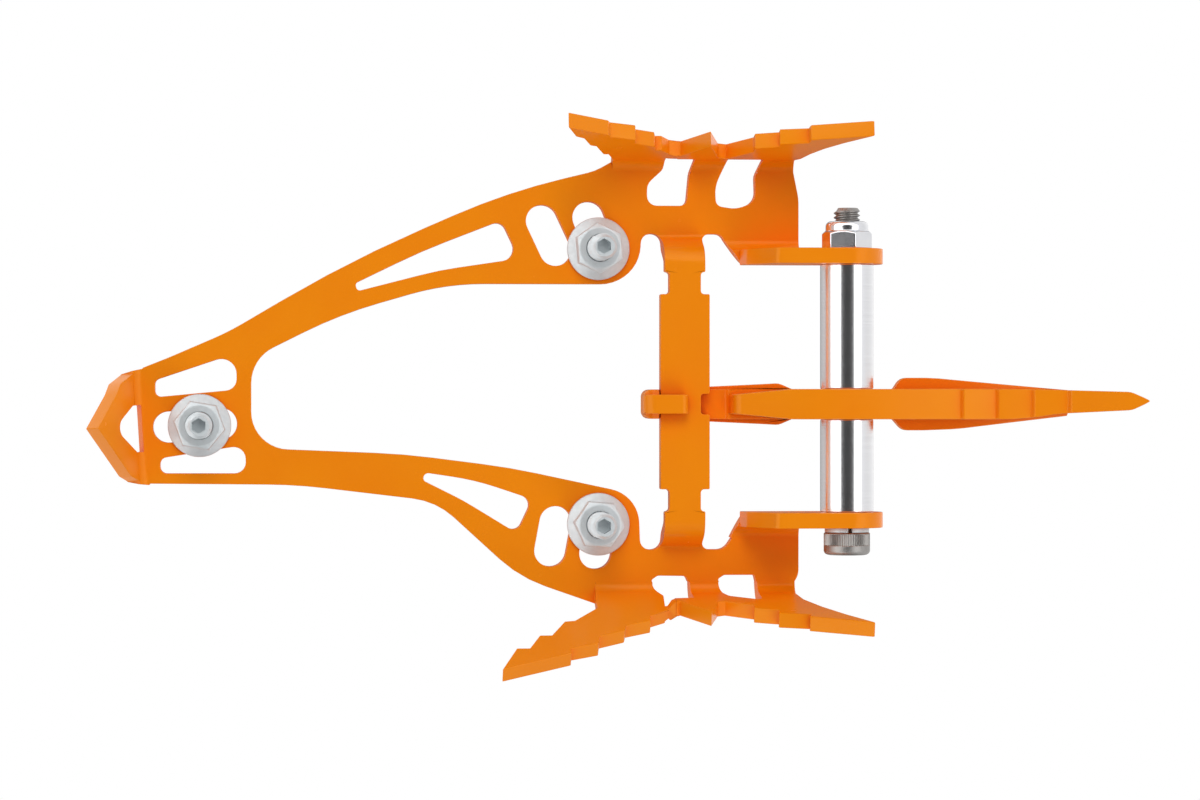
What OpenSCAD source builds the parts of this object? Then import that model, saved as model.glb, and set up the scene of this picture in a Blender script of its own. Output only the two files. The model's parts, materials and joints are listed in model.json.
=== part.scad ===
// Front section of a crampon for one foot, with a single forged front point.
// A bent steel frame is bolted to the sole of the boot by three studs and nuts.
// The front point hooks over the crossbar and is held by one bolt between two ears.
// X points forward, Y to the left, Z up towards the boot; Z = 0 is the sole face.
// The origin lies midway between the two front studs.

/* [Sheet] */
// Thickness of the steel sheet
sheet_t = 3.5; // [3:0.1:4]
// Inside radius of every bend
bend_r = 2.6; // [2:0.1:3]

/* [Frame plan] */
// Distance from the front studs back to the rear bend
rear_reach = 101.9; // [99:0.5:104]
// Sideways place of the rear stud and of the tail of the frame
tail_y = 8.8; // [7:0.1:10.5]
// Width of the tail of the frame at the rear bend
tail_w = 26; // [24:0.5:28]
// Angle of the tail in plan
tail_skew = -3.5; // [-5:0.5:-2]
// Distance from the centre line out to the right side bend
right_bend_y = 48.8; // [47.5:0.1:51]
// Distance from the centre line out to the left side bend
left_bend_y = 44.4; // [43.5:0.1:47]
// Distance from the front studs forward to the front edge of the plate
front_edge_x = 45.9; // [45:0.1:48]
// Radius of the frame round each front stud
pad_r = 9; // [8:0.1:9.5]

/* [Studs and slots] */
// Distance between the two front studs
stud_spread = 62.5; // [60:0.5:64]
// Distance from the front studs back to the rear stud
rear_stud_x = 90; // [88:0.5:91]
// Thread diameter of the studs and of the front bolt
thread_d = 6; // [5:1:6]
// Width of the stud slots
slot_w = 7.2; // [6.8:0.1:7.6]
// Travel of the rear stud from end to end of its slot
rear_slot_run = 11.8; // [9:0.1:12.5]
// Travel of the right front stud along its slot
right_slot_run = 7.6; // [6:0.1:8]
// Travel of the left front stud along its slot
left_slot_run = 6.7; // [5:0.1:7.5]
// Forward set of the front stud slots from their studs
slot_set = 0.5; // [0:0.05:0.6]
// Angle of the right slots from the Y axis
right_slot_tilt = 21; // [18:1:24]
// Angle of the left slots from the Y axis
left_slot_tilt = 10; // [8:1:13]
// Length of a stud above the sole face, inside the boot
stud_above = 10.5; // [8:0.5:12]
// Length of a stud below the sole face
stud_below = 19.5; // [17:0.5:22]
// Diameter of the plain waist of a stud inside its slot
waist_d = 5.3; // [4:0.1:5.4]
// Depth of the hexagon socket in the ground end of a stud
socket_depth = 2.5; // [2:0.5:5]
// Size across flats of that socket
socket_af = 3; // [2.5:0.5:3]

/* [Flange nuts] */
// Size across flats of all nuts
nut_af = 10; // [9:0.5:11]
// Height of a flange nut
nut_h = 6; // [5:0.5:7]
// Diameter of the nut flange
flange_d = 14.2; // [13:0.1:14.6]
// Thickness of the flange at its rim
flange_t = 1; // [0.8:0.1:1.5]
// Radial running clearance between a nut and its thread
thread_gap = 0.05; // [0.02:0.01:0.1]

/* [Crossbar] */
// Distance from the front studs forward to the rear edge of the bar
bar_x = 13.45; // [12.6:0.05:14]
// Width of the bar
bar_w = 11.15; // [10.8:0.05:12]
// Width of the bar at its two roots
bar_root_w = 9.2; // [8.8:0.1:9.8]
// Step of the bar down from the plate
bar_drop = 8; // [7:0.1:8.6]
// Slope of that step
bar_slope = 67; // [60:1:70]
// Inside radius of the tight bends of that step
bar_bend_r = 1.2; // [0.8:0.1:1.6]
// Depth of the notches near the ends of the bar
bar_notch = 2; // [1:0.1:2.5]
// Length of each of those notches along the bar
bar_notch_l = 5; // [3:0.1:6]
// Width of the notch behind the web of the point
key_notch_w = 4.6; // [4:0.1:6]

/* [Bay and ears] */
// Distance between the inner faces of the two ears
bay_w = 55.8; // [54:0.1:56.4]
// Sideways place of the middle of the bay
bay_y = 0.4; // [0:0.1:0.8]
// Distance from the front studs forward to the front bolt
bolt_x = 55.4; // [54:0.1:57]
// Depth of the front bolt below the sole face
bolt_z = 14; // [13.5:0.1:15]
// Radius of the front end of the ears round the bolt
ear_r = 8.1; // [7:0.1:8.6]
// Distance from the front studs forward to the rear edge of the ears
ear_x = 32; // [31.4:0.1:32.8]

/* [Side teeth] */
// Depth of the tips of the long side teeth below the sole face
tooth_depth = 28; // [26:0.5:30]
// Outward lean of the right front and middle teeth
right_splay = 10.5; // [9:0.5:12]
// Outward lean of the right rear tooth
right_rear_splay = 14; // [12.5:0.5:15]
// Outward lean of the left front and middle teeth
left_splay = 13.4; // [12:0.2:15]
// Outward lean of the left rear tooth
left_rear_splay = 33; // [31:0.5:34]

/* [Rear tooth] */
// Angle of the rear tooth down from the plate
tail_bend = 56; // [50:1:60]
// Length of the rear tooth beyond its bend
tail_tooth_l = 14.3; // [13:0.1:16]

/* [Front point] */
// Sideways place of the front point
point_y = 4; // [3:0.1:5]
// Thickness of the web of the front point
web_t = 6.8; // [6:0.1:7.4]
// Thickness of the hook and of the lower edge of the web
web_foot_t = 4.3; // [3.8:0.1:5]
// Distance from the front studs forward to the tip
point_reach = 122.3; // [116:0.1:128]
// Depth of the tip below the sole face
point_drop = 26; // [22:0.5:27]
// Sideways set of the tip towards the right
point_tip_set = 0.7; // [0:0.1:1]
// Thickness of the blade just behind the tip
point_tip_t = 4.1; // [3.6:0.1:4.6]
// Gap between the sole face and the top of the point
point_top_gap = 1.5; // [1:0.1:2]
// Thickness of the top flanges
point_flange_t = 3; // [2:0.1:3.5]
// Width of the front flange
front_flange_w = 12; // [10:0.1:13]
// Width of the rear flange where it is widest
rear_flange_w = 9.5; // [8:0.1:11]
// Depth of the web of the point at the bolt
web_bottom = 22; // [21:0.5:24]
// Reach of the hook under the bar
hook_reach = 6; // [4:0.1:7]
// Thickness of the hook behind the bar
hook_t = 3.8; // [3:0.1:4.5]
// Thickness of the hook jaw under the bar
jaw_t = 3.3; // [2.5:0.1:4]
// Gap between the hook and the bar
hook_gap = 0.3; // [0.1:0.05:0.5]
// Pitch of the serrations under the point
serration_pitch = 8.05; // [7.5:0.05:8.6]
// Height of each serration
serration_h = 1.1; // [0.6:0.1:1.5]

/* [Front bolt and spacers] */
// Diameter of the clearance holes for the front bolt
bolt_hole_d = 6.6; // [6.4:0.1:7]
// Outside diameter of the spacers
spacer_d = 12; // [11:0.1:13]
// Length of thread standing out of the lock nut
bolt_end = 3; // [1:0.5:5]
// Diameter of the bolt head
head_d = 10.5; // [10:0.1:11]
// Height of the bolt head
head_h = 5.1; // [4.8:0.1:6]
// Size across flats of the socket in the bolt head
head_socket_af = 5; // [4:0.5:5]
// Thickness of the lock washer
washer_t = 1.1; // [0.8:0.1:1.6]
// Outside diameter of the lock washer
washer_d = 10; // [9.5:0.1:11]
// Height of the lock nut
lock_nut_h = 6.2; // [5.5:0.1:7]
// Height of the hexagon of the lock nut
lock_hex_h = 3.9; // [3.5:0.1:4.2]
// Turn of the lock nut on the bolt
lock_nut_turn = 19; // [0:1:30]
// Outside diameter of the nylon insert
insert_d = 8; // [7.6:0.1:8.4]
// Thickness of the nylon insert
insert_t = 1.5; // [1:0.1:1.8]

/* [Hidden] */
$fn = 48;
eps = 0.01;
orange = [0.91, 0.51, 0.06];
steel = [0.78, 0.79, 0.81];
sheet_r = bend_r + sheet_t;
ground_z = -sheet_t;
tail_x = -rear_reach;
bar_front = bar_x + bar_w;
bar_mid = bar_x + bar_w / 2;
bar_top = -bar_drop;
bar_bottom = bar_top - sheet_t;
ear_right = bay_y - bay_w / 2;
ear_left = bay_y + bay_w / 2;
ear_fold_right = ear_right - sheet_r;
ear_fold_left = ear_left + sheet_r;
gap_right = ear_fold_right - 1.1;
gap_left = ear_fold_left + 2.7;
stud_y = stud_spread / 2;
web_right = point_y - web_t / 2;
web_left = point_y + web_t / 2;
nut_seat_y = ear_right - sheet_t;
head_seat_y = ear_left + sheet_t + washer_t;

// Rounds the corners of an outline given as [x, y, radius]
function arc_steps(r, turn) = max(1, ceil(turn / (r > 30 ? 3 : r > 5 ? 9 : r > 3 ? 12 : 18)));
function unit(v) = v / norm(v);
function corner(a, b, c) =
    let (u = unit([a[0] - b[0], a[1] - b[1]]), w = unit([c[0] - b[0], c[1] - b[1]]),
        half = acos(max(-1, min(1, u * w))) / 2, r = len(b) > 2 ? b[2] : 0)
    r == 0 || half > 89.9 ? [[b[0], b[1]]] :
    let (turn = 180 - 2 * half, reach = r / tan(half), p = [b[0], b[1]] + u * reach,
        side = unit(u + w), mid = [b[0], b[1]] + side * (r / sin(half)),
        from = p - mid, way = u[0] * w[1] - u[1] * w[0] > 0 ? -1 : 1,
        n = arc_steps(r, turn))
    [for (i = [0:n]) let (a1 = way * turn * i / n)
        mid + [from[0] * cos(a1) - from[1] * sin(a1), from[0] * sin(a1) + from[1] * cos(a1)]];
function rounded(p) = [for (i = [0:len(p) - 1])
    each corner(p[(i + len(p) - 1) % len(p)], p[i], p[(i + 1) % len(p)])];

// A point of the tail, given along and across the tail from the rear stud's slot
tail_mid = [-rear_stud_x - 1, tail_y];
function tail_pt(x, y, r = 0) = [tail_mid[0] + x * cos(tail_skew) - y * sin(tail_skew),
    tail_mid[1] + x * sin(tail_skew) + y * cos(tail_skew), r];
tail_end = (tail_x - tail_mid[0]) / cos(tail_skew);
tail_right = -tail_w / 2 - 0.6;
tail_left = tail_w / 2 - 0.1;
tail_step = 0.12;

// Far ends of the front slots, measured from the stud at rest
right_far = right_slot_run * [-sin(right_slot_tilt), -cos(right_slot_tilt)];
left_far = left_slot_run * [-sin(left_slot_tilt), cos(left_slot_tilt)];

module outline(p) { polygon(rounded(p)); }

// Slot with round ends about two centres
module slot(from, to, w) {
    d = to - from;
    h = w / 2;
    l = norm(d) + h;
    r = h - eps;
    translate(from) rotate(atan2(d[1], d[0]))
        outline([[-h, -h, r], [l, -h, r], [l, h, r], [-h, h, r]]);
}

// Flat part of the frame in plan, without the bar between the two U shaped gaps
module frame_plan() {
    outline([
        tail_pt(tail_end - 2, tail_right + 0.6),
        [tail_x + 5, tail_y - 15.3, 20],
        [tail_x + 18.4, tail_y - 21.1, 60],
        [-56.3, -right_bend_y + 20.4, 300],
        [-20.5, -right_bend_y + 4.7, 150],
        [-0.7, -right_bend_y - 0.1, 12],
        [3.2, -right_bend_y - 2.3],
        [3.2, -right_bend_y],
        [front_edge_x - 1.2, -right_bend_y],
        [front_edge_x, -right_bend_y + 6, 10],
        [front_edge_x, ear_fold_right],
        [ear_x - 3.4, ear_fold_right],
        [ear_x - 4.2, gap_right, 2],
        [bar_x - 3.6, gap_right, 2.2],
        [pad_r + 0.4, -stud_y + pad_r - 1, pad_r],
        [-34.3, -stud_y + pad_r - 1, 60],
        [-58.3, -16.3, 100],
        [tail_x + 23.5, -6.3, 9],
        [tail_x + 23.5, 13.9, 8.5],
        [-44, 15.3, 150],
        [-20, 18.4, 150],
        [pad_r + 0.2, stud_y - 6.6, 8],
        [bar_x - 3.8, gap_left, 2.3],
        [ear_x - 3.2, gap_left, 3],
        [ear_x - 1.4, ear_fold_left],
        [front_edge_x, ear_fold_left],
        [front_edge_x, left_bend_y - 1.5, 4],
        [front_edge_x - 0.9, left_bend_y],
        [-0.7, left_bend_y],
        [-0.7, left_bend_y + 4.9],
        [-17.8, left_bend_y - 1.1, 30],
        [-36.7, left_bend_y - 18.4, 17],
        [-68.3, 22.2, 120],
        tail_pt(tail_end - 2, tail_left - 0.6)]);
}

// Lightening windows and stud slots
module frame_holes() {
    outline([tail_pt(-8.3, -10.7, 1.3), tail_pt(-8.5, -6.9, 1.3), tail_pt(9.8, -7.5, 2.6),
        tail_pt(10.2, -15.7, 3.4)]);
    outline([tail_pt(-8.2, 6.9, 1.5), tail_pt(-8.4, 10.3, 1.5), tail_pt(10.7, 11.5, 2.5),
        tail_pt(11, 5.1, 2.7)]);
    slot(tail_mid - rear_slot_run / 2 * [cos(tail_skew), sin(tail_skew)],
        tail_mid + rear_slot_run / 2 * [cos(tail_skew), sin(tail_skew)], slot_w - 0.2);
    outline([[-55, -23.3, 0.8], [-40, -30.6, 150], [-22, -37.6, 2.2], [-17.9, -29, 2.8],
        [-36, -26.3, 80], [-54.6, -21.5, 0.8]]);
    outline([[-39.3, 19.5, 1.1], [-28, 21.2, 60], [-14.9, 25.6, 2.2], [-18.5, 33.2, 2],
        [-30.6, 25.8, 60], [-39.8, 21.2, 0.9]]);
    slot([slot_set, -stud_y], [slot_set, -stud_y] + right_far, slot_w);
    slot([slot_set, stud_y], [slot_set, stud_y] + left_far, slot_w);
    slot([-9.7, -stud_y + 0.3], [-12.8, -stud_y - 6.3], slot_w);
    slot([-9.7, stud_y - 0.5], [-10.9, stud_y + 6], slot_w);
}

// Windows that run from the plate over the side bends, seen in plan
module bend_windows() {
    ry = -right_bend_y;
    outline([[15.2, ry - 3], [14.8, ry - 0.5, 2], [11.2, ry + 2.8, 3], [11.2, ry + 7.7, 2.2],
        [20.1, ry + 7.7, 1.6], [20.8, ry + 0.3, 3], [22, ry - 3]]);
    outline([[29.6, ry - 3], [28.8, ry - 1.2, 1.5], [26.7, ry + 3.3, 8], [27, ry + 7.7, 1.6],
        [31.5, ry + 8.4, 6], [36, ry + 6.8, 3.2], [35.8, ry + 0.8, 3], [37.6, ry - 3]]);
    ly = left_bend_y;
    outline([[12.6, ly + 0.3], [12, ly - 0.3, 0.5], [13.6, ly - 1.4, 1],
        [20, ly - 1.3, 1], [20.6, ly + 0.3]]);
    outline([[28.1, ly + 0.3], [27.1, ly - 0.4, 0.5], [28.8, ly - 1.5, 1],
        [35.7, ly - 1.5, 0.6], [36.1, ly + 0.3]]);
}

// Ring of a bend along X, sweeping down from the plate towards +Y
module bend(x0, x1, sweep, grow = 0) {
    translate([x0, 0, 0]) rotate([90, 0, 90]) linear_extrude(x1 - x0) intersection() {
        difference() {
            circle(sheet_r + grow);
            circle(bend_r - grow);
        }
        polygon([[0, 0], for (a = [0:0.5:1]) 3 * sheet_r * [sin(a * sweep), cos(a * sweep)]]);
    }
}

// Sheet beyond a bend; the child outline lies in X and in length from the bend
module folded(sweep) {
    rotate([-sweep, 0, 0]) translate([0, 0, bend_r]) linear_extrude(sheet_t) children();
}

// Lean of the sheet from the vertical gives the angle of its bend
function sweep_of(splay) = 90 - splay;
// Length along a leaning wall that reaches the tooth depth
function wall_len(splay) =
    (tooth_depth - sheet_r + (bend_r + sheet_t / 2) * sin(splay)) / cos(splay);

// Ends of the walls of the right rear and front teeth, with the twist between them
right_rear_end = 15.55;
right_front_start = 17.1;
twist_lap = 0.3;

module right_front_teeth() {
    l = wall_len(right_splay);
    bend(right_front_start, front_edge_x - 1.2, sweep_of(right_splay));
    folded(sweep_of(right_splay)) polygon([[right_front_start, -eps],
        [right_front_start, 3.6], [18.2, 3.6], [24.1, 12.9], [27, 2], [28.9, 1.2],
        [34.3, l - 15.4], [34.3, l - 12.2],
        [39.5, l - 10.7], [39.4, l - 8.1], [45.7, l - 7], [45.9, l - 4.2], [59.6, l],
        [53.6, l - 7.1], [49.9, l - 12.5], [47.5, l - 17.3], [46, l - 21.6],
        [front_edge_x - 1.3, -eps]]);
}

module right_rear_tooth() {
    l = wall_len(right_rear_splay);
    bend(3.2, right_rear_end, sweep_of(right_rear_splay));
    folded(sweep_of(right_rear_splay)) polygon([[3.2, -eps], [1.8, l - 19.7], [0.7, l - 19.7],
        [-1.4, l - 13.9], [-2.8, l - 13.2], [-4.6, l - 8.2], [-6.5, l - 6.8], [-8.7, l],
        [0.6, l - 5.4], [1.2, l - 6.8], [7, l - 8.8], [7.2, l - 11.6], [11.7, l - 13.7],
        [12.2, l - 16.4], [13.6, l - 16.4], [right_rear_end, l - 19.2],
        [right_rear_end, -eps]]);
}

// Twisted strip of sheet between the right rear and middle teeth
module right_twist() {
    hull() {
        folded(sweep_of(right_rear_splay)) translate([right_rear_end - twist_lap, 0.6])
            square([twist_lap, wall_len(right_rear_splay) - 19.9]);
        folded(sweep_of(right_splay)) translate([right_front_start + 0.1, 0.6])
            square([twist_lap, 2.9]);
    }
}

module left_front_teeth() {
    l = wall_len(left_splay);
    bend(17, front_edge_x - 0.9, sweep_of(left_splay));
    folded(sweep_of(left_splay)) polygon([[17, -eps], [17, 6.6], [17.9, 6.2], [24.1, 14.6],
        [26.4, 7.1], [28.1, 6.4], [34.3, l - 14], [34, l - 11.6], [39.4, l - 10],
        [39.1, l - 7.6], [46, l - 6.3], [45.7, l - 4.8], [59.7, l], [54.1, l - 6.4],
        [49.4, l - 12.8], [46.1, l - 18.6], [front_edge_x - 1, -eps]]);
}

module left_rear_tooth() {
    l = wall_len(left_rear_splay);
    bend(-0.7, 15.8, sweep_of(left_rear_splay));
    folded(sweep_of(left_rear_splay)) polygon([[-0.7, -eps], [-0.7, 6], [-6.1, l - 18.1],
        [-8.4, l - 17.8], [-11.6, l - 12.6], [-14.3, l - 12.6], [-16.8, l - 7.8],
        [-19.7, l - 7.8], [-23.3, l], [-7.7, l - 5.8], [-7.6, l - 7.6], [-1.4, l - 9.4],
        [-1, l - 12.0], [4.8, l - 14.2], [5.2, l - 16.0], [11, l - 17.9], [11.1, l - 19.8],
        [15.8, l - 22.1], [15.8, -eps]]);
}

// Twisted strip of sheet between the left rear and middle teeth
module left_twist() {
    hull() {
        folded(sweep_of(left_rear_splay)) translate([15.2, 2.8])
            square([twist_lap, wall_len(left_rear_splay) - 24.9]);
        folded(sweep_of(left_splay)) translate([17.1, 3.4]) square([twist_lap, 2.9]);
    }
}

// Ear outline in X and in length down from its bend
module ear_plan() {
    depth = bolt_z - sheet_r;
    difference() {
        union() {
            translate([bolt_x, depth]) circle(ear_r);
            outline([[ear_x, -eps], [ear_x + 0.9, depth - 2.5, 4],
                [ear_x + 6.6, depth + ear_r, 2], [bolt_x, depth + ear_r],
                [bolt_x + 0.6, depth - ear_r], [front_edge_x + 3, -eps + 0.4, 3],
                [front_edge_x, -eps]]);
        }
        translate([bolt_x, depth]) circle(d = bolt_hole_d);
    }
}

module ear() {
    bend(ear_x - 4, front_edge_x, 90);
    folded(90) ear_plan();
}

// Bar outline in plan, with its flared roots, end notches and key notch
module bar_plan() {
    root = bar_mid - bar_root_w / 2;
    root_f = root + bar_root_w;
    waist = bar_x + bar_notch;
    waist_f = bar_front - bar_notch;
    n1 = bay_y - 26.2;
    n2 = n1 + bar_notch_l;
    n4 = bay_y + 27.8;
    n3 = n4 - bar_notch_l;
    k = key_notch_w / 2;
    outline([[root - 2.4, gap_right - 0.3], [root - 2.4, gap_right], [root, gap_right, 2.2],
        [root, n1, 0.3], [waist, n1, 0.8], [waist, n2, 0.8], [bar_x, n2, 0.3],
        [bar_x, n3, 0.3], [waist, n3, 0.8], [waist, n4, 0.8], [root, n4, 0.3],
        [root, gap_left, 2.3], [root - 2.4, gap_left], [root - 2.4, gap_left + 0.3],
        [root_f + 2.2, gap_left + 0.3], [root_f + 2.2, gap_left], [root_f, gap_left, 1.8],
        [root_f, n4, 0.3], [waist_f, n4, 0.8], [waist_f, n3, 0.8], [bar_front, n3, 0.3],
        [bar_front, point_y + k, 0.3], [waist_f, point_y + k, 0.6],
        [waist_f, point_y - k, 0.6], [bar_front, point_y - k, 0.3], [bar_front, n2, 0.3],
        [waist_f, n2, 0.8], [waist_f, n1, 0.8], [root_f, n1, 0.3], [root_f, gap_right, 1.8],
        [root_f + 2.2, gap_right], [root_f + 2.2, gap_right - 0.3]]);
}

// Section of the bar along Y, stepped down from the plate at both ends
module bar_section() {
    shift = sheet_t * tan(bar_slope / 2);
    run = bar_drop / tan(bar_slope);
    bar_r = bar_bend_r + sheet_t;
    lead = bar_r * tan(bar_slope / 2);
    y1 = gap_right + lead;
    y4 = gap_left - lead;
    outline([[gap_right - 0.3, 0], [y1, 0, bar_r], [y1 + run, bar_top, bar_bend_r],
        [y4 - run, bar_top, bar_bend_r], [y4, 0, bar_r], [gap_left + 0.3, 0],
        [gap_left + 0.3, ground_z], [y4 + shift, ground_z, bar_bend_r],
        [y4 - run + shift, bar_bottom, bar_r], [y1 + run - shift, bar_bottom, bar_r],
        [y1 - shift, ground_z, bar_bend_r], [gap_right - 0.3, ground_z]]);
}

module bar() {
    intersection() {
        translate([0, 0, bar_bottom - 1]) linear_extrude(bar_drop + sheet_t + 2) bar_plan();
        translate([bar_x - 6, 0, 0]) rotate([90, 0, 90]) linear_extrude(bar_w + 12)
            bar_section();
    }
}

// Triangular rear tooth in width and in length from its bend
module tail_tooth() {
    l = tail_tooth_l;
    hole_start = 19;
    difference() {
        union() {
            intersection() {
                bend(-tail_w / 2 - 1, tail_w / 2 + 1, tail_bend);
                translate([0, 0, -sheet_r]) linear_extrude(3 * sheet_r) polygon([
                    [tail_right + tail_step, -eps], [tail_right + 0.5, 2.4],
                    [tail_right + 1.4, sheet_r], [tail_left - 1.4, sheet_r],
                    [tail_left - 0.5, 2.4], [tail_left - tail_step, -eps]]);
            }
            folded(tail_bend) polygon([[tail_right + 1.2, -eps], [-10.4, l - 9.5],
                [-8, l - 7.7], [-0.8, l], [10.4, l - 11.3], [tail_left - 1.2, -eps]]);
        }
        rotate([-hole_start, 0, 0]) bend(-5.3, 5.2, tail_bend - hole_start + 3, 1);
        rotate([-tail_bend, 0, 0]) translate([0, 0, bend_r - 1]) linear_extrude(sheet_t + 2)
            outline([[-5.3, -1], [-5.3, 0.6, 1.5], [-0.5, l - 6.4, 2.4], [5.2, 0, 1.5],
                [5.2, -1]]);
    }
}

// Frame of the rear bend: X along the bend, Y backwards, Z = 0 at the middle of its ring
module at_tail_bend() {
    translate([tail_x, tail_mid[1] + (tail_x - tail_mid[0]) * tan(tail_skew), -sheet_r])
        rotate([0, 0, 90 + tail_skew]) children();
}

module frame_plate() {
    color(orange) {
        difference() {
            union() {
                translate([0, 0, ground_z]) linear_extrude(sheet_t) difference() {
                    frame_plan();
                    frame_holes();
                }
                mirror([0, 1, 0]) translate([0, right_bend_y, -sheet_r]) {
                    right_front_teeth();
                    right_rear_tooth();
                    right_twist();
                }
                translate([0, left_bend_y, -sheet_r]) {
                    left_front_teeth();
                    left_rear_tooth();
                    left_twist();
                }
                translate([0, ear_fold_right, -sheet_r]) ear();
                mirror([0, 1, 0]) translate([0, -ear_fold_left, -sheet_r]) ear();
            }
            translate([0, 0, -sheet_r]) linear_extrude(sheet_r + 1) bend_windows();
            side_window_cuts();
            ear_corner_cuts();
            at_tail_bend() translate([-tail_w, 0, 0]) cube([2 * tail_w, 9, sheet_r + 1]);
        }
        bar();
        at_tail_bend() tail_tooth();
    }
}

// The same windows, cut square through the bend and the top of each wall
module side_window_cuts() {
    far = 12;
    translate([0, -right_bend_y + 0.2, 0]) rotate([90, 0, 0]) linear_extrude(far) {
        polygon([[15.2, 1], [15.2, -6.6], [17.6, -6.5], [18.4, -4.9], [21.3, -4.6], [20.5, 1]]);
        polygon([[29.4, 1], [29.6, -4], [36.7, -5.1], [35.6, 1]]);
    }
    translate([0, left_bend_y + far, 0]) rotate([90, 0, 0]) linear_extrude(far) {
        polygon([[12.2, 1], [12.3, -3.4], [14.7, -5.8], [14.7, -9.2], [21.3, -8.7], [20.6, 1]]);
        outline([[27.4, 1], [27.5, -3.4], [29.6, -7.4, 1.5], [36.8, -10.6, 1], [36, 1]]);
    }
}

// The front of each U shaped gap slopes across the rear end of the ear bend
module ear_corner_cuts() {
    translate([0, 0, -sheet_r]) linear_extrude(sheet_r + 1) {
        outline([[ear_x - 9, gap_right], [ear_x - 4.2, gap_right, 2], [ear_x + 0.6, ear_right],
            [ear_x + 0.6, ear_right + 3], [ear_x - 9, ear_right + 3]]);
        outline([[ear_x - 9, gap_left], [ear_x - 3.2, gap_left, 3], [ear_x + 1.1, ear_left],
            [ear_x + 1.1, ear_left - 3], [ear_x - 9, ear_left - 3]]);
    }
}

// Side profile of the front point, in X and Z
point_top = -point_top_gap;
hook_x = bar_x - hook_gap - hook_t;
mouth_top = bar_top + hook_gap;
mouth_bottom = bar_bottom - hook_gap;
web_x = 29.4;
shoulder_x = 67.8;
flange_run = 40;
first_step = 80.8;
// Height of the top edge falls from the shoulder to the tip along a smooth curve
function fall(x) = x < shoulder_x ? 0 : pow((x - shoulder_x) / (point_reach - shoulder_x), 1.6);
function top_edge(x) = point_top - (point_drop - point_top_gap) * fall(x);
// Lower edge without its serrations
function low_edge(x) = let (f = (x - bolt_x) / (point_reach - bolt_x))
    -web_bottom + 4 * sin(180 * pow(f, 1.25)) - (point_drop - web_bottom) * f * f;
edge_xs = [for (x = [shoulder_x:3.7:point_reach - 4]) x];

module point_side() {
    saw = [for (i = [3:-1:0]) let (x = first_step + i * serration_pitch)
        each [[x + 0.3, low_edge(x) - serration_h / 2], [x - 0.3, low_edge(x) + serration_h / 2]]];
    polygon(concat(
        rounded([[hook_x, mouth_bottom - 2, 2], [hook_x, point_top, 6], [web_x, point_top]]),
        [for (x = edge_xs) [x, top_edge(x)]],
        [[point_reach, -point_drop]],
        [[point_reach - 6, low_edge(point_reach - 6) - 0.8]],
        saw,
        [[shoulder_x, low_edge(shoulder_x)]],
        rounded([[bolt_x, -web_bottom], [bolt_x - 9, -web_bottom, 14],
            [web_x, -web_bottom + 5, 2.5], [web_x, mouth_top, 1.5],
            [bar_x - hook_gap, mouth_top, 1], [bar_x - hook_gap, mouth_bottom]])));
}

// Jaw of the hook, under the bar
module point_jaw() {
    end = bar_x + hook_reach;
    outline([[hook_x, mouth_bottom + 4], [hook_x, mouth_bottom - jaw_t, 3],
        [end, mouth_bottom - jaw_t, 1.5], [end, mouth_bottom, 1],
        [bar_x - hook_gap, mouth_bottom, 0.4], [bar_x - hook_gap, mouth_bottom + 4]]);
}

// Web in plan: narrow at the hook's foot, full at the bolt, a chisel at the tip
module point_plan() {
    w = web_t / 2;
    t = point_tip_t / 2;
    c = -point_tip_set;
    outline([[hook_x, -w + 0.1, 2], [web_x, -w], [point_reach - 27, -w, 60],
        [point_reach - 4.2, c - t, 4], [point_reach, c - 0.15], [point_reach, c + 0.15],
        [point_reach - 3.9, c + t, 4], [point_reach - 19.3, c + t + 0.8, 30],
        [point_reach - 28, w, 30], [web_x, w], [hook_x, w - 0.1, 2]]);
}

// The foot of the web narrows towards the bar
module foot_plan() {
    w = web_t / 2;
    f = web_foot_t / 2;
    polygon([[hook_x, -w], [hook_x + 3.5, -w], [hook_x + 4.5, -f], [web_x, -f],
        [web_x + 13, -w], [point_reach, -w], [point_reach, w], [web_x + 13, w], [web_x, f],
        [hook_x + 4.5, f], [hook_x + 3.5, w], [hook_x, w]]);
}

module rear_flange_plan() {
    w = rear_flange_w / 2;
    outline([[web_x - 9, -w + 1], [web_x + 8, -w + 0.2, 10], [web_x + 11.8, -w, 3],
        [web_x + 15.4, -web_t / 2 + 0.2, 4], [web_x + 18, -web_t / 2 + 0.2],
        [web_x + 18, web_t / 2 - 0.2], [web_x + 15.4, web_t / 2 - 0.2, 4],
        [web_x + 11.8, w, 3], [web_x + 8, w - 0.2, 10], [web_x - 9, w - 1]]);
}

module front_flange_plan() {
    w = front_flange_w / 2;
    inner = web_t / 2 - 0.3;
    outline([[shoulder_x - 3, -inner], [shoulder_x - 0.4, -inner, 1.5],
        [shoulder_x + 1.5, -w, 2.5], [shoulder_x + 8.5, -w, 30],
        [shoulder_x + flange_run, -inner + 0.2], [shoulder_x + flange_run, inner - 0.8],
        [shoulder_x + 14, w - 0.3, 30], [shoulder_x + 6.6, w, 20],
        [shoulder_x + 1.9, w, 2.5], [shoulder_x - 0.6, inner, 1.5], [shoulder_x - 3, inner]]);
}

// Strip of the side profile just under the top edge
module top_strip(from, to) {
    xs = [for (x = [from:3.1:to]) x];
    last = len(xs) - 1;
    polygon(concat([for (x = xs) [x, top_edge(x)]],
        [for (i = [last:-1:0]) [xs[i], top_edge(xs[i]) - point_flange_t]]));
}

module along_y(w) { translate([0, w / 2, 0]) rotate([90, 0, 0]) linear_extrude(w) children(); }
module along_z(z0, z1) { translate([0, 0, z0]) linear_extrude(z1 - z0) children(); }

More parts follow.
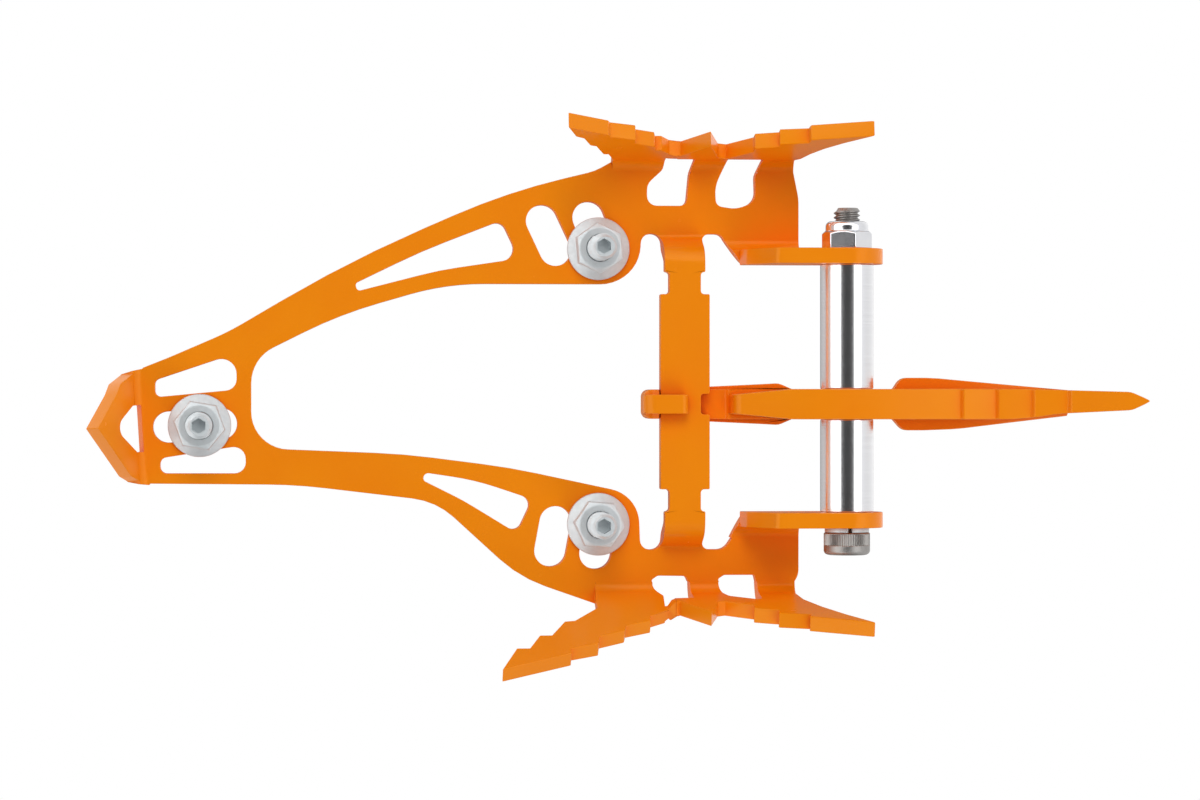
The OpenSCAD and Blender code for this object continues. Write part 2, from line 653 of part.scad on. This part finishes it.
module front_point() {
    low = -point_drop - 4;
    color(orange) translate([0, point_y, 0]) difference() {
        union() {
            intersection() {
                along_y(web_t) point_side();
                along_z(low, 0) point_plan();
                union() {
                    along_z(low, mouth_top - 0.6) foot_plan();
                    along_z(mouth_top - 0.6, 0) translate([0, -web_t])
                        square([point_reach + 1, 2 * web_t]);
                }
            }
            intersection() {
                along_y(web_foot_t) point_jaw();
                along_z(low, 0) point_plan();
            }
            intersection() {
                along_y(rear_flange_w + 2) top_strip(web_x - 9, web_x + 18);
                along_z(low, 0) rear_flange_plan();
            }
            intersection() {
                along_y(front_flange_w + 2) top_strip(shoulder_x - 3, shoulder_x + flange_run);
                along_z(low, 0) front_flange_plan();
            }
        }
        translate([bolt_x, web_t, -bolt_z]) rotate([90, 0, 0])
            cylinder(d = bolt_hole_d, h = 2 * web_t);
    }
}

module tube(y0, y1) {
    translate([bolt_x, y1, -bolt_z]) rotate([90, 0, 0]) difference() {
        cylinder(d = spacer_d, h = y1 - y0);
        translate([0, 0, -1]) cylinder(d = bolt_hole_d, h = y1 - y0 + 2);
    }
}

module long_spacer() { color(steel) tube(ear_right, web_right); }
module short_spacer() { color(steel) tube(web_left, ear_left); }

// Socket head bolt along Y, with its head on the left
module front_bolt() {
    tip = nut_seat_y - lock_nut_h - bolt_end;
    chamfer = 0.7;
    color("gray") translate([bolt_x, head_seat_y, -bolt_z]) {
        rotate([90, 0, 0]) rotate_extrude() polygon([[0, 0], [thread_d / 2, 0],
            [thread_d / 2, head_seat_y - tip - chamfer],
            [thread_d / 2 - chamfer, head_seat_y - tip], [0, head_seat_y - tip]]);
        difference() {
            rotate([-90, 0, 0]) rotate_extrude() polygon(concat([[0, 0], [head_d / 2, 0]],
                corner([head_d / 2, 0], [head_d / 2, head_h, 0.9], [0, head_h]), [[0, head_h]]));
            translate([0, head_h - 3, 0]) rotate([-90, 0, 0])
                cylinder(d = head_socket_af / cos(30), h = 4, $fn = 6);
        }
    }
}

// Split ring between the head and the left ear
module lock_washer() {
    split = 0.8;
    color(steel) translate([bolt_x, head_seat_y, -bolt_z]) rotate([90, 0, 0]) difference() {
        cylinder(d = washer_d, h = washer_t);
        translate([0, 0, -1]) cylinder(d = thread_d + 0.3, h = washer_t + 2);
        translate([-split / 2, -washer_d, -1]) cube([split, washer_d, washer_t + 2]);
    }
}

// Nut body standing on Z = 0, a hexagon with chamfered corners
module hex_body(af, h, chamfer_up) {
    corner_d = af / cos(30);
    intersection() {
        cylinder(d = corner_d, h = h, $fn = 6);
        rotate_extrude() polygon([[0, 0], [corner_d / 2, 0], [corner_d / 2, h - chamfer_up],
            [af / 2 - 0.1, h], [0, h]]);
    }
}

module lock_nut() {
    collar_r = nut_af / 2 - 0.2;
    bore_r = thread_d / 2 + thread_gap;
    color(steel) translate([bolt_x, nut_seat_y, -bolt_z]) rotate([90, lock_nut_turn, 0])
        difference() {
            union() {
                hex_body(nut_af, lock_hex_h, 0.5);
                rotate_extrude() polygon(concat([[0, lock_hex_h - 1], [collar_r, lock_hex_h - 1]],
                    corner([collar_r, 0], [collar_r, lock_nut_h, 1.2], [0, lock_nut_h]),
                    [[0, lock_nut_h]]));
            }
            translate([0, 0, -1]) cylinder(r = bore_r, h = lock_nut_h);
            translate([0, 0, lock_nut_h - insert_t - 0.5]) cylinder(d = insert_d, h = insert_t);
            translate([0, 0, lock_nut_h - 1]) cylinder(d = insert_d - 0.8, h = 2);
        }
}

module nylon_insert() {
    color([0.2, 0.45, 0.75]) translate([bolt_x, nut_seat_y - lock_nut_h + 0.5, -bolt_z])
        rotate([-90, 0, 0]) difference() {
            cylinder(d = insert_d, h = insert_t);
            translate([0, 0, -1]) cylinder(r = thread_d / 2 + thread_gap, h = insert_t + 2);
        }
}

// Stud with its waist in the slot and a hexagon socket in its ground end
module stud(x, y) {
    r = thread_d / 2;
    chamfer = 0.6;
    color("silver") translate([x, y, 0]) difference() {
        rotate_extrude() polygon([[0, stud_above], [r, stud_above], [r, 0],
            [waist_d / 2, 0], [waist_d / 2, ground_z], [r, ground_z],
            [r, -stud_below + chamfer], [r - chamfer, -stud_below], [0, -stud_below]]);
        translate([0, 0, -stud_below - 1])
            cylinder(d = socket_af / cos(30), h = socket_depth + 1, $fn = 6);
    }
}

// Nut under the plate with a round flange against the sheet
module flange_nut(x, y, turn) {
    color(steel) translate([x, y, ground_z]) rotate([180, 0, turn]) difference() {
        union() {
            hex_body(nut_af, nut_h, 0.6);
            rotate_extrude() polygon([[0, 0], [flange_d / 2, 0], [flange_d / 2, flange_t],
                [nut_af / 2, flange_t + 1.4], [0, flange_t + 1.4]]);
        }
        translate([0, 0, -1]) cylinder(r = thread_d / 2 + thread_gap, h = nut_h + 2);
    }
}

module rear_stud() { stud(-rear_stud_x, tail_y); }
module right_stud() { stud(0, -stud_y); }
module left_stud() { stud(0, stud_y); }
module rear_flange_nut() { flange_nut(-rear_stud_x, tail_y, 10); }
module right_flange_nut() { flange_nut(0, -stud_y, 25); }
module left_flange_nut() { flange_nut(0, stud_y, 5); }

frame_plate();
front_point();
long_spacer();
short_spacer();
front_bolt();
lock_washer();
lock_nut();
nylon_insert();
rear_stud();
right_stud();
left_stud();
rear_flange_nut();
right_flange_nut();
left_flange_nut();
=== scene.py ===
import json
import math

import bpy
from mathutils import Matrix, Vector

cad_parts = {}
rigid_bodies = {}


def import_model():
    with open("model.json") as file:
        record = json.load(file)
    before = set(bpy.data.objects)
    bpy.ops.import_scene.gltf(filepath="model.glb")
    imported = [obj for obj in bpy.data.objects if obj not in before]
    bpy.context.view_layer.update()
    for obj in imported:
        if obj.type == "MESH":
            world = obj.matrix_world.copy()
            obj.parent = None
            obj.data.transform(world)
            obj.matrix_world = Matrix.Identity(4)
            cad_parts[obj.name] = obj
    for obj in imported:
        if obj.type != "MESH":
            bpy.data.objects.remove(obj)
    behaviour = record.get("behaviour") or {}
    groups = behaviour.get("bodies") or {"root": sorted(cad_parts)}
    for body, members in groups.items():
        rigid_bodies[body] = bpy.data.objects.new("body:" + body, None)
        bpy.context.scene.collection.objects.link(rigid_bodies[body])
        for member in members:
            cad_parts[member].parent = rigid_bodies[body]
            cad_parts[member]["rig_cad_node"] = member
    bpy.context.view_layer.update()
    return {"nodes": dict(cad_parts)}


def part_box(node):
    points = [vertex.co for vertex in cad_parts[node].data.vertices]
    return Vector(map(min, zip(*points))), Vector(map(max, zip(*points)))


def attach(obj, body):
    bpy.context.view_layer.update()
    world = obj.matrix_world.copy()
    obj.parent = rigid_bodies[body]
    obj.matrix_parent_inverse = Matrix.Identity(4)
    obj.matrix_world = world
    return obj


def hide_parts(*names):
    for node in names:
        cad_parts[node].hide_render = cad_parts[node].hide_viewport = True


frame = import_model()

mm = 0.001

# Camera: under the crampon, looking up at its ground side with a long lens, as the
# photograph was taken. Picture right is the front, picture up is the right-hand side.
stand, tilt = (-0.0777, 0.00307, -0.8966), math.radians(5)
bpy.ops.object.select_all(action="DESELECT")
bpy.ops.object.camera_add(location=stand, rotation=(math.pi, tilt, 0))
camera = bpy.context.object
camera.name = "camera"
camera.data.sensor_width = 36
camera.data.lens = 118.5
camera.data.clip_start = 0.01
bpy.context.scene.camera = camera
bpy.context.scene.view_settings.view_transform = "Standard"


# Studio: a grey surround, lighter at the sides, and four soft lamps. Reflections show white
# panels left, right and over the top of the picture, with a dark space where the camera
# stands, and two white cards behind the tail. The camera itself sees plain white.
class Wire:
    """A socket in a node tree, on which plain arithmetic adds Math nodes."""

    def __init__(self, tree, socket):
        self.tree, self.socket = tree, socket

    def math(self, operation, *values, clamp=False):
        node = self.tree.nodes.new("ShaderNodeMath")
        node.operation, node.use_clamp = operation, clamp
        for pin, value in zip(node.inputs, values):
            plug(self.tree, pin, value)
        return Wire(self.tree, node.outputs[0])

    def __add__(self, other):
        return self.math("ADD", self, other)

    def __mul__(self, other):
        return self.math("MULTIPLY", self, other)

    def __sub__(self, other):
        return self.math("SUBTRACT", self, other)

    def __rsub__(self, other):
        return self.math("SUBTRACT", other, self)

    def __pow__(self, other):
        return self.math("POWER", self, other)

    def clamped(self):
        return self.math("ADD", self, 0.0, clamp=True)

    def larger(self, other):
        return self.math("MAXIMUM", self, other)

    __radd__, __rmul__ = __add__, __mul__


def plug(tree, pin, value):
    """Feeds an input pin from a wire, or sets it to a number, a vector or a colour."""
    if isinstance(value, Wire):
        tree.links.new(value.socket, pin)
    else:
        pin.default_value = (*value, 1) if pin.type == "RGBA" else value


class Finish:
    """The node tree of one material or of the world."""

    def __init__(self, owner):
        owner.use_nodes = True
        self.owner, self.tree = owner, owner.node_tree

    def node(self, kind, settings=None, pins=None, out=0):
        """Adds a node: its settings first, then the values or wires of its input pins."""
        node = self.tree.nodes.new("ShaderNode" + kind)
        for name, value in (settings or {}).items():
            if name == "stops":
                ramp = node.color_ramp.elements
                while len(ramp) < len(value):
                    ramp.new(0.5)
                for element, (place, colour) in zip(ramp, value):
                    element.position, element.color = place, (*colour, 1)
            else:
                setattr(node, name, value)
        for name, value in (pins or {}).items():
            plug(self.tree, node.inputs[name], value)
        return Wire(self.tree, node.outputs[out]) if node.outputs else None

    def mix(self, factor, first, second):
        """Blends two colours. A Mix node has pins 6 and 7 and output 2 for colours."""
        return self.node("Mix", {"data_type": "RGBA"}, {0: factor, 6: first, 7: second}, 2)

    def noise(self, scale, detail=2.0, rough=0.5, stretch=None):
        """Noise in object coordinates, at so many features to the metre."""
        place = self.node("TexCoord", out="Object")
        if stretch:
            place = self.node("Mapping", {}, {"Vector": place, "Scale": stretch})
        return self.node("TexNoise", {}, {"Vector": place, "Scale": scale, "Detail": detail,
                                          "Roughness": rough})

    def bump(self, height, strength, distance):
        """Dents of a real depth in metres, at some share of their strength."""
        return self.node("Bump", {}, {"Height": height, "Strength": strength,
                                      "Distance": distance})

    def wear(self, **pins):
        """Feeds or sets the shader's own pins."""
        for name, value in pins.items():
            plug(self.tree, self.shader.inputs[name.replace("_", " ")], value)


def surface(name, **pins):
    """A new Principled material; pins that don't vary are set on the shader itself."""
    finish = Finish(bpy.data.materials.new(name))
    finish.shader = finish.tree.nodes["Principled BSDF"]
    finish.wear(**pins)
    return finish


world = Finish(bpy.context.scene.world or bpy.data.worlds.new("studio"))
bpy.context.scene.world = world.owner
world.tree.nodes.clear()
seen = world.node("LightPath", out="Is Camera Ray")
shiny = world.node("LightPath", out="Is Glossy Ray")
through = world.node("LightPath", out="Is Transmission Ray")
toward = world.node("VectorMath", {"operation": "NORMALIZE"},
                    {0: world.node("TexCoord", out="Generated")})


def along(*direction):
    """How far the ray points along a direction, from -1 to 1."""
    return world.node("VectorMath", {"operation": "DOT_PRODUCT"},
                      {0: toward, 1: direction}, "Value")


def past(reading, start, rate):
    """Nothing up to a start, and then a rise to one at some rate."""
    return ((reading - start) * rate).clamped()


def grey(level):
    return (level, level, level)


# The two ramps run from 0, away from the camera, to 1, at its lens. The panels, the space
# round the lens and the cards begin at these readings, with a soft or a crisp edge.
white, soft, crisp = grey(1), 8, 40
panel_edge, gap_edge, lens_edge, card_edge = 0.25, 0.86, 0.93, 0.80
weak_card, mirror_level = 0.7, 1.9
down, ahead = along(-0.087, 0, -0.996), along(1, 0, 0)
height = down * 0.5 + 0.5
behind = world.node("ValToRGB", {"stops": [
    (0, grey(0.30)), (0.40, (0.30, 0.27, 0.26)), (0.595, (0.36, 0.25, 0.22)),
    (0.625, white), (0.928, white), (0.937, grey(0.05)), (1, grey(0.025))]}, {"Fac": height})
before = world.node("ValToRGB", {"stops": [
    (0, grey(0.55)), (0.40, grey(0.46)), (0.73, (0.47, 0.47, 0.48)),
    (0.755, white), (0.935, white), (0.944, grey(0.05)), (1, grey(0.025))]}, {"Fac": height})
panels = world.mix((ahead * 4 + 0.5).clamped(), behind, before)
top_side = along(0, -1, 0) * (down * 3 + 0.9).clamped()
lit = past(top_side.larger(ahead).larger(ahead * -1), panel_edge, soft)
open_side = world.mix(past(down, gap_edge, crisp), grey(0.11), grey(0.04))
panels = world.mix(lit.larger(past(down, lens_edge, crisp)), open_side, panels)
rear_cards = (past(along(-0.62, -0.62, 0.48), card_edge, soft)
              + past(along(-0.62, 0.62, 0.48), card_edge, soft) * weak_card)
mirror = world.node("VectorMath", {"operation": "SCALE"},
                    {0: world.mix(rear_cards, panels, white), "Scale": mirror_level})
walls = world.mix(down * down, (0.78, 0.78, 0.785), (0.44, 0.44, 0.445))
light = world.node("Background", {}, {
    "Color": world.mix((seen + through).clamped(), world.mix(shiny, walls, mirror), white)})
world.node("OutputWorld", {}, {"Surface": light})

for name, place, size, power in [
        ("key_below", (-0.10, -0.65, -0.90), 0.50, 4.6),
        ("fill_below", (0.45, 0.75, -0.70), 0.60, 3.2),
        ("key_above", (0.95, -0.30, 0.80), 0.60, 8.0),
        ("fill_above", (-0.85, 0.40, 0.70), 0.70, 5.0)]:
    bpy.ops.object.light_add(type="AREA", location=place)
    lamp = bpy.context.object
    lamp.name = name
    lamp.data.size = size
    lamp.data.energy = power
    lamp.visible_glossy = False
    lamp.rotation_euler = (-Vector(place)).to_track_quat("-Z", "Y").to_euler()

# Floor: a pale sheet under the teeth, seen and shaded only from above, so that the
# camera below it and the lamps below it look straight through.
floor_height = -28.3 * mm
bpy.ops.mesh.primitive_plane_add(size=4, location=(0, 0, floor_height))
floor = bpy.context.object
floor.name = "floor"
ground = surface("pale_floor", Base_Color=(0.80, 0.80, 0.81), Roughness=0.9)
hide = ground.node("MixShader", {}, {0: ground.node("NewGeometry", out="Backfacing"),
                                     1: Wire(ground.tree, ground.shader.outputs[0]),
                                     2: ground.node("BsdfTransparent")})
plug(ground.tree, ground.tree.nodes["Material Output"].inputs["Surface"], hide)
floor.data.materials.append(ground.owner)
for kind in ("diffuse", "glossy", "transmission", "shadow"):
    setattr(floor, "visible_" + kind, False)


# Frame: one blank of 3.5 mm steel sheet, bent down along both sides, at the two ears, at
# the crossbar and at the tail, then painted. Its cut edges are only just broken.
def from_solid(node, name, merge_flats=True):
    """A copy of a solid's mesh as a piece of its own, joined up into one skin."""
    bpy.ops.object.select_all(action="DESELECT")
    piece = frame["nodes"][node].copy()
    piece.data = piece.data.copy()
    piece.name = piece.data.name = name
    piece.parent = None
    del piece["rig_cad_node"]
    bpy.context.scene.collection.objects.link(piece)
    bpy.context.view_layer.objects.active = piece
    piece.select_set(True)
    bpy.ops.mesh.customdata_custom_splitnormals_clear()
    bpy.ops.object.mode_set(mode="EDIT")
    bpy.ops.mesh.select_all(action="SELECT")
    bpy.ops.mesh.remove_doubles(threshold=0.02 * mm)
    if merge_flats:
        bpy.ops.mesh.dissolve_limited(angle_limit=math.radians(1))
    bpy.ops.object.mode_set(mode="OBJECT")
    return piece


def pick(piece, wanted):
    """Opens a piece for editing, with the vertices selected that are where they're wanted."""
    bpy.ops.object.mode_set(mode="EDIT")
    bpy.ops.mesh.select_all(action="DESELECT")
    bpy.ops.object.mode_set(mode="OBJECT")
    piece.data.vertices.foreach_set("select", [wanted(v.co) for v in piece.data.vertices])
    bpy.ops.object.mode_set(mode="EDIT")


def break_edges(piece, width, segments=2, angle=35, within=None):
    """Rounds the edges sharper than an angle. Within a solid, what the rounding pushed out
    is drawn back in, and the face against the sole is pressed flat again."""
    rounding = piece.modifiers.new("rounding", "BEVEL")
    rounding.width, rounding.segments = width, segments
    rounding.limit_method, rounding.angle_limit = "ANGLE", math.radians(angle)
    rounding.use_clamp_overlap = rounding.loop_slide = False
    bpy.context.view_layer.objects.active = piece
    bpy.ops.object.modifier_apply(modifier=rounding.name)
    if within:
        hold = piece.modifiers.new("hold", "SHRINKWRAP")
        hold.target, hold.wrap_mode = frame["nodes"][within], "INSIDE"
        bpy.ops.object.modifier_apply(modifier=hold.name)
        pick(piece, lambda place: place.z > 0)
        bpy.ops.transform.resize(value=(1, 1, 0), center_override=(0, 0, 0))
        bpy.ops.object.mode_set(mode="OBJECT")
    bpy.ops.object.shade_smooth_by_angle(angle=math.radians(32))
    level = piece.modifiers.new("level", "WEIGHTED_NORMAL")
    level.keep_sharp = True
    bpy.ops.object.modifier_apply(modifier=level.name)
    return piece


def finish_piece(piece, body, slot, material, *nodes):
    """Gives a piece its material, its body and the solids it stands for."""
    piece.data.materials.clear()
    piece.data.materials.append(material.owner)
    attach(piece, body)
    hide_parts(*nodes)


thin_coat, thick_coat = (0.82, 0.236, 0.002), (0.80, 0.212, 0.002)
# Painted shade colours: a redder orange for hollows, a dark brown for tight creases.
nook_shade_orange, crease_shade_brown = (0.92, 0.165, 0.002), (0.45, 0.060, 0.002)
paint = surface("orange_paint", Specular_IOR_Level=0.42, Specular_Tint=(1, 0.76, 0.42))
thickness = paint.noise(60, 3) * 0.7 + paint.noise(14, 1) * 0.3
coat_and_shade = paint.mix((thickness * 3 - 1).clamped(), thin_coat, thick_coat)
# Painted shade, read from ambient occlusion: the longer reach finds hollows, the shorter one
# tight creases.
nook_shade, crease_shade = (
    1 - paint.node("AmbientOcclusion", {"samples": 8}, {"Distance": reach * mm}, "AO")
    for reach in (14, 3))
# Painted shade: the paint turns redder in hollows near the walls, ears and teeth.
coat_and_shade = paint.mix((nook_shade * 1.6).clamped(), coat_and_shade, nook_shade_orange)
# Painted shade: tight inside corners and creases turn dark brown.
coat_and_shade = paint.mix(crease_shade ** 1.8, coat_and_shade, crease_shade_brown)
peel = paint.noise(900, 2) * 0.7 + paint.noise(3500, 1) * 0.3
paint.wear(Base_Color=coat_and_shade, Roughness=paint.noise(250, 2) * 0.10 + 0.20,
           Normal=paint.bump(peel, 0.10, 0.1 * mm))

sheet_frame = break_edges(from_solid("frame_plate", "sheet_frame", merge_flats=False),
                          0.2 * mm, within="frame_plate")
finish_piece(sheet_frame, "frame", "orange_paint", paint, "frame_plate")

# Front point: forged from bar stock, painted like the frame, hooked round the crossbar
# and held by the bolt. Its edges are rounder than those of the sheet.
point = break_edges(from_solid("front_point", "forged_point", merge_flats=False),
                    0.25 * mm, within="front_point")
finish_piece(point, "frame", "orange_paint", paint, "front_point")

# Front bolt: an M6 socket head screw of matt grey steel, pushed through from the left.
# The head is knurled on the half next to its washer and has a hexagon socket.
axle = Vector((55.4, 0, -14)) * mm
head_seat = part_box("lock_washer")[1].y
bolt_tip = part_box("front_bolt")[0].y
smooth_below = math.radians(28)


def start_piece(name):
    """Names the object just added, and opens it for editing with all of it selected."""
    piece = bpy.context.object
    piece.name = piece.data.name = name
    bpy.ops.object.mode_set(mode="EDIT")
    bpy.ops.mesh.select_all(action="SELECT")
    return piece


def pull(*step):
    """Extrudes what is selected by a step in millimetres."""
    bpy.ops.mesh.extrude_region_move(
        TRANSFORM_OT_translate={"value": [v * mm for v in step]})


def threaded_rod(name, low, high, low_taper=0, high_taper=0):
    """M6 thread along Z between two heights in millimetres, with tapered ends on top.
    One tooth of its profile is wound into a coil, and the coil is trimmed at both ends."""
    pitch, crest, core, steps = 1.0, 2.97, 2.44, 26
    flank, flat, end_scale = 0.36 * pitch, 0.14 * pitch, 0.82
    lead_in, spare_turns = 1.5 * pitch, 4
    bpy.ops.object.select_all(action="DESELECT")
    bpy.ops.mesh.primitive_plane_add(size=mm)
    rod = start_piece(name)
    bpy.ops.mesh.merge(type="CENTER")
    bpy.ops.transform.translate(value=(core * mm, 0, (low - lead_in) * mm))
    for out, up in ((crest - core, flank), (0, flat), (core - crest, flank), (0, flat)):
        pull(out, 0, up)
    bpy.ops.object.mode_set(mode="OBJECT")
    wind = rod.modifiers.new("wind", "SCREW")
    wind.axis, wind.angle, wind.screw_offset = "Z", 2 * math.pi, pitch * mm
    wind.steps = wind.render_steps = steps
    wind.iterations = int((high - low) / pitch) + spare_turns
    bpy.ops.object.modifier_apply(modifier=wind.name)
    bpy.ops.object.mode_set(mode="EDIT")
    bpy.ops.mesh.select_all(action="SELECT")
    bpy.ops.mesh.remove_doubles(threshold=0.002 * mm)
    for height, side, taper in ((low, -1, low_taper), (high, 1, high_taper)):
        bpy.ops.mesh.select_all(action="SELECT")
        bpy.ops.mesh.bisect(plane_co=(0, 0, height * mm), plane_no=(0, 0, side),
                            clear_outer=True, use_fill=True, threshold=1e-7)
        if taper:
            pull(0, 0, side * taper)
            bpy.ops.transform.resize(value=(end_scale, end_scale, 1),
                                     center_override=(0, 0, (height + side * taper) * mm))
    bpy.ops.mesh.select_all(action="SELECT")
    bpy.ops.mesh.normals_make_consistent(inside=False)
    bpy.ops.object.mode_set(mode="OBJECT")
    bpy.ops.object.shade_smooth_by_angle(angle=smooth_below)
    return rod


def plain_rod(name, radius, length, middle):
    """Smooth bar along Z about a height, in millimetres."""
    bpy.ops.object.select_all(action="DESELECT")
    bpy.ops.mesh.primitive_cylinder_add(vertices=40, radius=radius * mm, depth=length * mm,
                                        location=(0, 0, middle * mm))
    rod = start_piece(name)
    bpy.ops.object.mode_set(mode="OBJECT")
    bpy.ops.object.transform_apply(location=True)
    bpy.ops.object.shade_smooth_by_angle(angle=smooth_below)
    return rod


def machine(piece, operation):
    """Cuts a piece with the tool just added, and puts the tool away."""
    tool = bpy.context.object
    cut = piece.modifiers.new("cut", "BOOLEAN")
    cut.operation, cut.object, cut.solver = operation, tool, "EXACT"
    bpy.context.view_layer.objects.active = piece
    bpy.ops.object.modifier_apply(modifier=cut.name)
    bpy.data.objects.remove(tool)
    return piece


def hexagon_socket(piece, across, top, bottom):
    """Cuts a hexagon hole along Z into the end of a piece, between two heights."""
    bpy.ops.object.select_all(action="DESELECT")
    bpy.ops.mesh.primitive_cylinder_add(
        vertices=6, radius=across / math.sqrt(3) * mm, depth=(top - bottom) * mm,
        location=(0, 0, (top + bottom) / 2 * mm))
    machine(piece, "DIFFERENCE")


def join(first, *others):
    bpy.ops.object.select_all(action="DESELECT")
    for piece in (first, *others):
        piece.select_set(True)
    bpy.context.view_layer.objects.active = first
    bpy.ops.object.join()
    return first


def turned_head(ribs=60, radius=5.22, chamfer=0.25, rib_scale=0.965, seat_gap=0.01):
    """Head standing on Z = 0: rings of one circle, each a step up and scaled, with every
    second vertex of the knurled band pressed in to make the ribs."""
    bpy.ops.object.select_all(action="DESELECT")
    bpy.ops.mesh.primitive_circle_add(vertices=2 * ribs, radius=(radius - chamfer) * mm,
                                      fill_type="NGON")
    head = start_piece("screw_head")
    bpy.ops.transform.translate(value=(0, 0, seat_gap * mm))
    for up, grow in ((chamfer, radius / (radius - chamfer)), (0.15, 1), (2.45, 1), (0.15, 1),
                     (1.2, 1), (0.32, 0.975), (0.26, 0.955), (0.2, 0.93), (0.1, 0.90)):
        pull(0, 0, up)
        bpy.ops.transform.resize(value=(grow, grow, 1), center_override=(0, 0, 0))
    bpy.ops.mesh.select_all(action="SELECT")
    bpy.ops.mesh.normals_make_consistent(inside=False)
    bpy.ops.object.mode_set(mode="OBJECT")
    band_low, band_high = 0.38 * mm, 2.9 * mm
    pick(head, lambda place: band_low < place.z < band_high
         and round(math.atan2(place.y, place.x) / math.pi * ribs) % 2 == 1)
    bpy.ops.transform.resize(value=(rib_scale, rib_scale, 1), center_override=(0, 0, 0))
    bpy.ops.object.mode_set(mode="OBJECT")
    return head


steel = surface("grey_screw", Metallic=1.0)
grain = steel.noise(900, 3)
soot = steel.noise(160, 2)
steel.wear(Base_Color=steel.mix(grain * 0.6 + soot * 0.4, (0.26, 0.25, 0.24),
                                (0.46, 0.44, 0.42)),
           Roughness=grain * 0.2 + 0.36, Normal=steel.bump(grain, 0.15, 0.03 * mm))

head = turned_head()
hexagon_socket(head, across=5, top=5.6, bottom=2.1)
bpy.ops.object.shade_smooth_by_angle(angle=smooth_below)
bolt_length, threaded = (head_seat - bolt_tip) / mm, 20
overlap, tip_taper = 0.1, 0.7
shank = plain_rod("shank", radius=2.98, length=bolt_length - threaded,
                  middle=(threaded - bolt_length + overlap) / 2)
thread = threaded_rod("bolt_thread", low=tip_taper - bolt_length,
                      high=threaded + overlap - bolt_length, low_taper=tip_taper)
screw = join(head, shank, thread)
screw.name = screw.data.name = "cap_screw"
screw.rotation_euler = (-math.pi / 2, 0, 0)
screw.location = (axle.x, head_seat, axle.z)
bpy.ops.object.transform_apply(location=True, rotation=True)
finish_piece(screw, "bolt", "grey_screw", steel, "front_bolt")

# Spring washer: one turn of square steel wire, zinc plated and cut through, so that it
# springs. It sits on the bolt between its head and the left ear, and turns with the head.
zinc = surface("zinc_plate", Metallic=0.6)
spangle = zinc.noise(800, 3)
zinc.wear(Base_Color=zinc.mix(spangle, (0.68, 0.72, 0.735), (0.55, 0.59, 0.605)),
          Roughness=spangle * 0.16 + 0.46, Normal=zinc.bump(spangle, 0.15, 0.05 * mm))
washer = break_edges(from_solid("lock_washer", "spring_washer"), 0.18 * mm)
finish_piece(washer, "bolt", "zinc", zinc, "lock_washer")

# Spacers: two lengths of drawn steel tube, plated and polished, on the bolt at each side
# of the front point. The bolt clamps them between the ears, and so they hold the point.
chrome = surface("polished_tube", Metallic=1.0)
drawn = chrome.noise(20, 2, 0.6, stretch=(1, 120, 1))
chrome.wear(Base_Color=chrome.mix(drawn, (0.90, 0.90, 0.91), (0.78, 0.78, 0.80)),
            Roughness=drawn * 0.10 + 0.15, Normal=chrome.bump(drawn, 0.25, 0.05 * mm))
for node, name in [("long_spacer", "right_tube"), ("short_spacer", "left_tube")]:
    tube = break_edges(from_solid(node, name), 0.3 * mm)
    finish_piece(tube, "frame", "chrome_tube", chrome, node)

# Lock nut: a bright plated steel hexagon, screwed on the end of the bolt against the
# right ear. Its collar is crimped over a nylon ring, which grips the thread.
plating = surface("bright_nut", Metallic=1.0)
ripple = plating.noise(300, 2)
plating.wear(Base_Color=plating.mix(ripple, (0.90, 0.90, 0.91), (0.74, 0.75, 0.78)),
             Roughness=ripple * 0.14 + 0.10, Normal=plating.bump(ripple, 0.2, 0.08 * mm))
locking = break_edges(from_solid("lock_nut", "locking_nut"), 0.25 * mm, segments=3)
finish_piece(locking, "bolt_nut", "zinc", plating, "lock_nut")
nylon = surface("nylon_ring", Roughness=0.45)
nylon.wear(Base_Color=nylon.mix(nylon.noise(1200, 2), (0.05, 0.16, 0.48),
                                (0.07, 0.20, 0.55)))
ring = frame["nodes"]["nylon_insert"]
ring.data.materials.clear()
ring.data.materials.append(nylon.owner)


# Studs: three zinc plated M6 studs that screw into the sole, waisted where they slide in
# their slots, with a hexagon socket in the end that shows below the nut.
def stud(name):
    lower = threaded_rod(name, low=-18.9, high=-3.5, low_taper=0.6)
    hexagon_socket(lower, across=3, top=-17, bottom=-20)
    upper = threaded_rod("upper", low=0, high=10.0, high_taper=0.5)
    waist = plain_rod("waist", radius=2.64, length=3.6, middle=-1.75)
    return join(lower, upper, waist)


places = {"rear": (-90 * mm, 8.8 * mm), "right": (0, -31.25 * mm), "left": (0, 31.25 * mm)}
pins = {"rear": stud("rear_pin")}
for side in ("right", "left"):
    pins[side] = pins["rear"].copy()
    pins[side].data = pins["rear"].data.copy()
    bpy.context.scene.collection.objects.link(pins[side])
for side, pin in pins.items():
    pin.name = pin.data.name = side + "_pin"
    pin.location = (*places[side], 0)
    bpy.ops.object.select_all(action="DESELECT")
    pin.select_set(True)
    bpy.context.view_layer.objects.active = pin
    bpy.ops.object.transform_apply(location=True)
    finish_piece(pin, "stud_" + side, "zinc", zinc, side + "_stud")

# Flange nuts: zinc plated, each pulling the sheet up against the sole. The end of the
# hexagon is turned to a cone, so its flat face is a circle.
face_radius, cone_base, cone_length, cone_middle = 3.70 * mm, 15.82 * mm, 7 * mm, -6.5 * mm
for side, place in places.items():
    nut = from_solid(side + "_flange_nut", side + "_nut")
    bpy.ops.object.select_all(action="DESELECT")
    bpy.ops.mesh.primitive_cone_add(vertices=96, radius1=face_radius, radius2=cone_base,
                                    depth=cone_length, location=(*place, cone_middle))
    break_edges(machine(nut, "INTERSECT"), 0.22 * mm, segments=3, angle=25)
    finish_piece(nut, "nut_" + side, "zinc", zinc, side + "_flange_nut")
